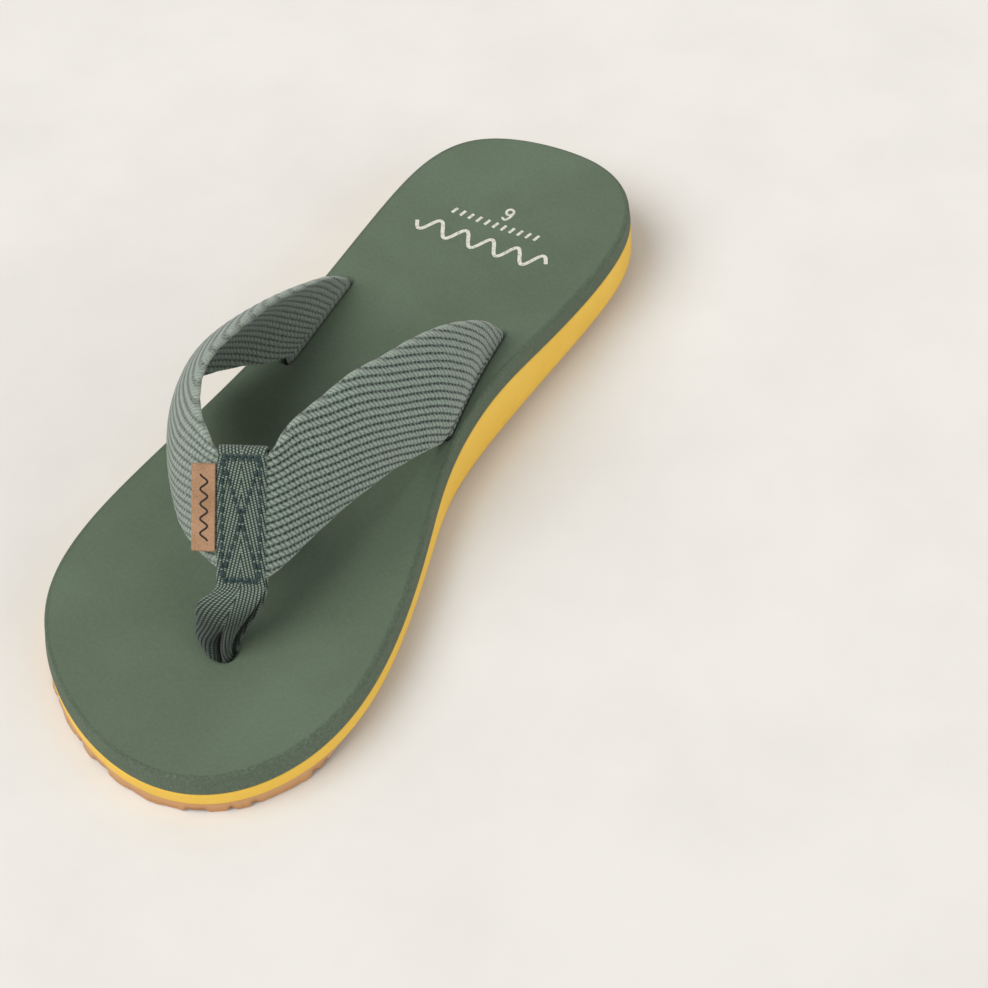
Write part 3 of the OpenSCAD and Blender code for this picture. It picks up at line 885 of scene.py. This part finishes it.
def build_tape(material):
    """The folded tape: up one face of the V, over its edge, down the other and into the hole."""
    front = tape_leg(1)
    back = tape_leg(-1)
    w = np.linspace(-1, 1, 49)
    angle = np.radians(np.linspace(0, 180, 20)[1:-1])
    out, up = (LEG * np.cos(angle))[:, None], (V_TOP + LEG * np.sin(angle))[:, None]
    fold = v_point(w[None, :] * TAPE_HALF, out, up)
    centre = np.concatenate([front[::-1], fold, back])
    du = np.gradient(centre, axis=0)
    dv = np.gradient(centre, axis=1)
    normal = unit(np.cross(du, dv))
    middle = centre[:, 24]
    step = np.linalg.norm(np.diff(middle, axis=0), axis=1)
    u = np.concatenate([[0], np.cumsum(step)])
    size = np.abs(w[None, :]) * TAPE_HALF
    u2 = u[:, None] + 0 * size
    down = u2 * math.tan(math.radians(13))
    front_rows = np.arange(len(centre)) < len(front)
    slope = np.where(front_rows[:, None], down, -down)
    twill = (size + slope) / 0.98
    floats = u2 / 0.72
    share = np.ones(len(w))
    share[[0, -1]] = 0
    share[[1, -2]] = 0.8
    rank = twill - np.floor(twill)
    weave = (1 - np.abs(2 * rank - 1)) * (0.5 + 0.5 * tri(floats + 0.5 * np.floor(twill)))
    thick = (TAPE_T + 0.14 * weave - 0.05) * share[None, :]
    droop = smooth((LOBE - 0.05) / 0.4)
    flat = np.zeros(len(front) - len(droop))
    down_tape = np.concatenate([droop[::-1], flat, np.zeros(len(fold)), flat, droop])
    shade = 0.68 * (down_tape[:, None] + 0 * size)
    shade[: len(droop)] += 0.3 * smooth((LOBE - 0.36) / 0.3)[::-1, None] * bell(w / 0.3)[None, :]
    values = {"twill": twill, "float": floats + 0 * size, "shade": shade}
    return strip("toe_tape", centre, normal, thick, material, values)


# ---------------------------------------------------------------- stitches
def capsule(a, b, normal, radius, sink=0.25, sides=8, steps=6):
    """A stitch from a to b that dives in at both ends. Returns points and faces."""
    a, b, normal = (np.asarray(v, float) for v in (a, b, normal))
    along = unit(b - a)
    across = np.cross(along, normal)
    points = [a - normal * sink - along * radius * 0.3]
    for i in range(steps + 1):
        f = i / steps
        rise = math.sin(math.pi * f) ** 0.5 if 0 < f < 1 else 0
        centre = a + (b - a) * f + normal * (radius * 0.75 * rise - sink * (1 - rise))
        size = radius * (0.55 + 0.45 * rise)
        for k in range(sides):
            w = 2 * math.pi * k / sides
            points.append(centre + size * (across * math.cos(w) + normal * math.sin(w)))
    points.append(b - normal * sink + along * radius * 0.3)
    ids = 1 + np.arange((steps + 1) * sides).reshape(steps + 1, sides)
    quads = loop_faces(ids).tolist()
    for k in range(sides):
        n = (k + 1) % sides
        quads.append([0, int(ids[0, n]), int(ids[0, k])])
        quads.append([len(points) - 1, int(ids[-1, k]), int(ids[-1, n])])
    return np.array(points), quads


def build_stitches(material):
    """A box with a cross in it on both faces of the V, its short sides sewn twice."""
    w, h, sink = 5.4, 17.0, 0.8
    # Ends of each line, length of a stitch and radius of the thread.
    lines = [
        ((-w, -h), (w, -h), 2.2, 0.5),
        ((-w, -h - 0.8), (w, -h - 0.8), 1.8, 0.36),
        ((-w, h), (w, h), 2.2, 0.5),
        ((-w, h + 0.8), (w, h + 0.8), 1.8, 0.36),
        ((-w, -h), (-w, h), 2.7, 0.44),
        ((w, -h), (w, h), 2.7, 0.44),
        ((-w, -h), (w, h), 2.7, 0.44),
        ((-w, h), (w, -h), 2.7, 0.44),
    ]
    points, faces, start = [], [], 0
    for front in (1, -1):
        for a, b, pitch, radius in lines:
            a, b = np.array(a), np.array(b)
            count = max(2, round(np.linalg.norm(b - a) / pitch))
            for i in range(count):
                p = a + (b - a) * (i + 0.10) / count
                q = a + (b - a) * (i + 0.90) / count
                level = front * (LEG + TAPE_T + 0.02)
                head = v_point(p[0], level, p[1] - sink)
                foot = v_point(q[0], level, q[1] - sink)
                pts, quads = capsule(head, foot, V_FACE * front, radius)
                points.append(pts)
                faces += [[v + start for v in f] for f in quads]
                start += len(pts)
    return make_object("box_stitches", np.concatenate(points), [faces], material)


# ---------------------------------------------------------------- label
LABEL_MIDDLE = 2.1
LABEL_HALF = 12.5
LABEL_NEAR = 7.45
LABEL_FAR = 14.15
LABEL_T = 0.23
FOLD_RADIUS = 0.28
FOLD_START = LABEL_FAR - 0.45


def label_face(a, c):
    """How far the outer layer of the label stands off the V's plane."""
    return 2.50 + 0.12 * np.sin((c - LABEL_MIDDLE) / 7) * (a - LABEL_NEAR) / 8


def build_label(material):
    """A suede strip folded double, its fold at the free edge."""
    c = np.linspace(-LABEL_HALF, LABEL_HALF, 61) + LABEL_MIDDLE
    out_a = np.linspace(LABEL_NEAR, FOLD_START, 26)
    turn = np.radians(np.linspace(90, -90, 11)[1:-1])
    centre = []
    for a in out_a:
        centre.append(v_point(a, label_face(a, c), c))
    for w in turn:
        mid = label_face(LABEL_FAR, c) - FOLD_RADIUS
        reach = FOLD_START + FOLD_RADIUS * math.cos(w)
        centre.append(v_point(reach, mid + FOLD_RADIUS * math.sin(w), c))
    for a in out_a[::-1]:
        centre.append(v_point(a, label_face(a, c) - 2 * FOLD_RADIUS, c))
    centre = np.array(centre)
    normal = unit(np.cross(np.gradient(centre, axis=0), np.gradient(centre, axis=1)))
    share = np.ones(len(c))
    share[[0, -1]] = 0
    share[[1, -2]] = 0.85
    thick = np.broadcast_to(LABEL_T * share, centre.shape[:2])
    return strip("label_folded", centre, normal, thick, material, {"wall": 0.0})


def ribbon(path, width, place, lift, depth):
    """A thin closed ribbon along a 2-D path. place(p, q, h) gives the point h above the surface."""
    path = np.asarray(path, float)
    g = unit(np.gradient(path, axis=0))
    side = np.stack([-g[:, 1], g[:, 0]], -1) * width / 2
    left, right = path + side, path - side
    corners = [
        place(left[:, 0], left[:, 1], lift),
        place(right[:, 0], right[:, 1], lift),
        place(right[:, 0], right[:, 1], -depth),
        place(left[:, 0], left[:, 1], -depth),
    ]
    points = np.stack(corners, 1)
    ids = np.arange(len(path) * 4).reshape(len(path), 4)
    return points.reshape(-1, 3), loop_faces(ids).tolist() + [ids[0].tolist(), ids[-1].tolist()]


def join_ribbons(name, ribbons, material):
    """One object from several ribbons."""
    points, faces, start = [], [], 0
    for pts, quads in ribbons:
        points.append(pts)
        faces += [[v + start for v in f] for f in quads]
        start += len(pts)
    return make_object(name, np.concatenate(points), [faces], material, shade_angle=40)


def on_footbed(x, y, h):
    return np.column_stack([x, y, skin_z(x, y) + h])


def heel_wave():
    x = np.linspace(-23.5, 23.5, 220)
    return np.column_stack([x, 49.5 + 3.1 * np.sin(2 * np.pi * x / 9.4)])


def heel_dash(x):
    slant = 0.35
    return np.column_stack([np.linspace(-slant, slant, 6) + x, np.linspace(38.7, 41.3, 6)])


def heel_six():
    """The numeral's bowl, and its stem as a cubic curve from the tip to the bowl."""
    angle = np.radians(np.linspace(180, 540, 49))
    bowl = np.column_stack([-1.5 + 1.2 * np.cos(angle), 32.85 + 1.3 * np.sin(angle)])
    tip, over, behind = (np.array([p]) for p in ((-0.3, 35.7), (-0.9, 37.3), (-2.75, 36.6)))
    f = np.linspace(0, 1, 30)[:-1, None]
    start = (1 - f) ** 3 * tip + 3 * f * (1 - f) ** 2 * over
    stem = start + 3 * f * f * (1 - f) * behind + f**3 * bowl[:1]
    return np.concatenate([stem, bowl])


def build_print(material):
    """A wavy line, a row of dashes and the size number, pressed into the heel."""
    lines = [(heel_wave(), 1.25)]
    lines += [(heel_dash(-15.0 + 3.0 * i), 1.0) for i in range(11)]
    lines.append((heel_six(), 0.85))
    ribbons = [ribbon(path, width, on_footbed, 0.07, 0.12) for path, width in lines]
    return join_ribbons("heel_print", ribbons, material)


def build_mark(material):
    """A small wavy line down the label."""
    c = np.linspace(-9.5, 9.5, 140)
    path = np.column_stack([10.6 + 1.0 * np.sin(2 * np.pi * c / 4.2), c + LABEL_MIDDLE])

    def on_label(a, up, h):
        return v_point(a, label_face(a, up) + LABEL_T + h, up)

    return join_ribbons("label_mark", [ribbon(path, 0.55, on_label, 0.05, 0.1)], material)


# ---------------------------------------------------------------- the object
attach(build_outsole(outsole_rubber()), "sole", "outsole_rubber", "outsole")
attach(build_midsole(midsole_foam()), "sole", "midsole_foam", "midsole")
attach(build_footbed(footbed_foam()), "sole", "footbed_foam", "footbed")
attach(build_print(print_ink()), "sole", "footbed_foam")
cloth = webbing()
for side_name, course, side in (("medial", MEDIAL, -1), ("lateral", LATERAL, 1)):
    strap = build_strap(f"strap_{side_name}_woven", course, side, cloth)
    attach(strap, "sole", "strap_webbing", f"strap_{side_name}")
attach(build_tape(tape_weave()), "sole", "toe_tape", "toe_post")
attach(build_stitches(sewing_thread()), "sole", "thread", "tape_stitching")
attach(build_label(label_suede()), "label", "label_suede", "label")
attach(build_mark(dark_ink()), "label", "label_suede")
anchor = frame["nodes"]["toe_anchor"]
anchor.data.materials.clear()
anchor.data.materials.append(anchor_plastic())


# ---------------------------------------------------------------- floor, light and camera
def build_floor():
    s = Surface("studio_floor", roughness=0.95, specular=0.1)
    tones = (0.35, srgb(233, 230, 225)), (0.65, srgb(238, 235, 230))
    s.set("Base Color", s.ramp(s.noise(60, 4, 0.6), *tones))
    s.bump(s.noise(2.5, 4, 0.6), 0.12, 0.25)
    mesh = bpy.data.meshes.new("studio_floor")
    half = 6.0
    corners = [(-half, -half, 0), (half, -half, 0), (half, half, 0), (-half, half, 0)]
    mesh.from_pydata(corners, [], [(0, 1, 2, 3)])
    mesh.materials.append(s.material)
    floor = bpy.data.objects.new("studio_floor", mesh)
    bpy.context.scene.collection.objects.link(floor)


def build_sun(name, energy, degrees, toward, colour):
    """A sun of the given angular size; toward points from the object to it."""
    data = bpy.data.lights.new(name, "SUN")
    data.energy = energy
    data.angle = math.radians(degrees)
    data.color = colour
    sun = bpy.data.objects.new(name, data)
    sun.rotation_euler = Vector(toward).to_track_quat("Z", "Y").to_euler()
    bpy.context.scene.collection.objects.link(sun)


def build_light():
    """A broad key light from the outer toe side, a low fill and a pale sky."""
    sky = bpy.data.worlds.new("studio")
    bpy.context.scene.world = sky
    sky.use_nodes = True
    background = sky.node_tree.nodes["Background"]
    background.inputs["Color"].default_value = (1.0, 0.995, 0.985, 1)
    background.inputs["Strength"].default_value = 0.45
    build_sun("key", 2.0, 48, (0.435, 0.435, 0.788), (1.0, 0.99, 0.97))
    build_sun("fill", 1.2, 60, (-0.85, 0.15, 0.15), (1.0, 1.0, 1.0))


def build_camera():
    """Looks down at the toe's inner side, as a product photograph does."""
    data = bpy.data.cameras.new("camera")
    data.sensor_width = 36
    data.lens = 94.74
    data.clip_start = 0.01
    data.clip_end = 50
    camera = bpy.data.objects.new("camera", data)
    place = Vector(world((-324.7, 555.7, 598.0)))
    forward = (Vector(world((-50.15, 132.2, 10.0))) - place).normalized()
    roll = math.radians(5.05)
    level = forward.cross(Vector((0, 0, 1))).normalized()
    up = level.cross(forward)
    right = level * math.cos(roll) - up * math.sin(roll)
    top = right.cross(forward)
    turn = Matrix((right, top, -forward)).transposed().to_4x4()
    camera.matrix_world = Matrix.Translation(place) @ turn
    bpy.context.scene.collection.objects.link(camera)
    bpy.context.scene.camera = camera


build_floor()
build_light()
build_camera()
bpy.context.scene.view_settings.view_transform = "Standard"
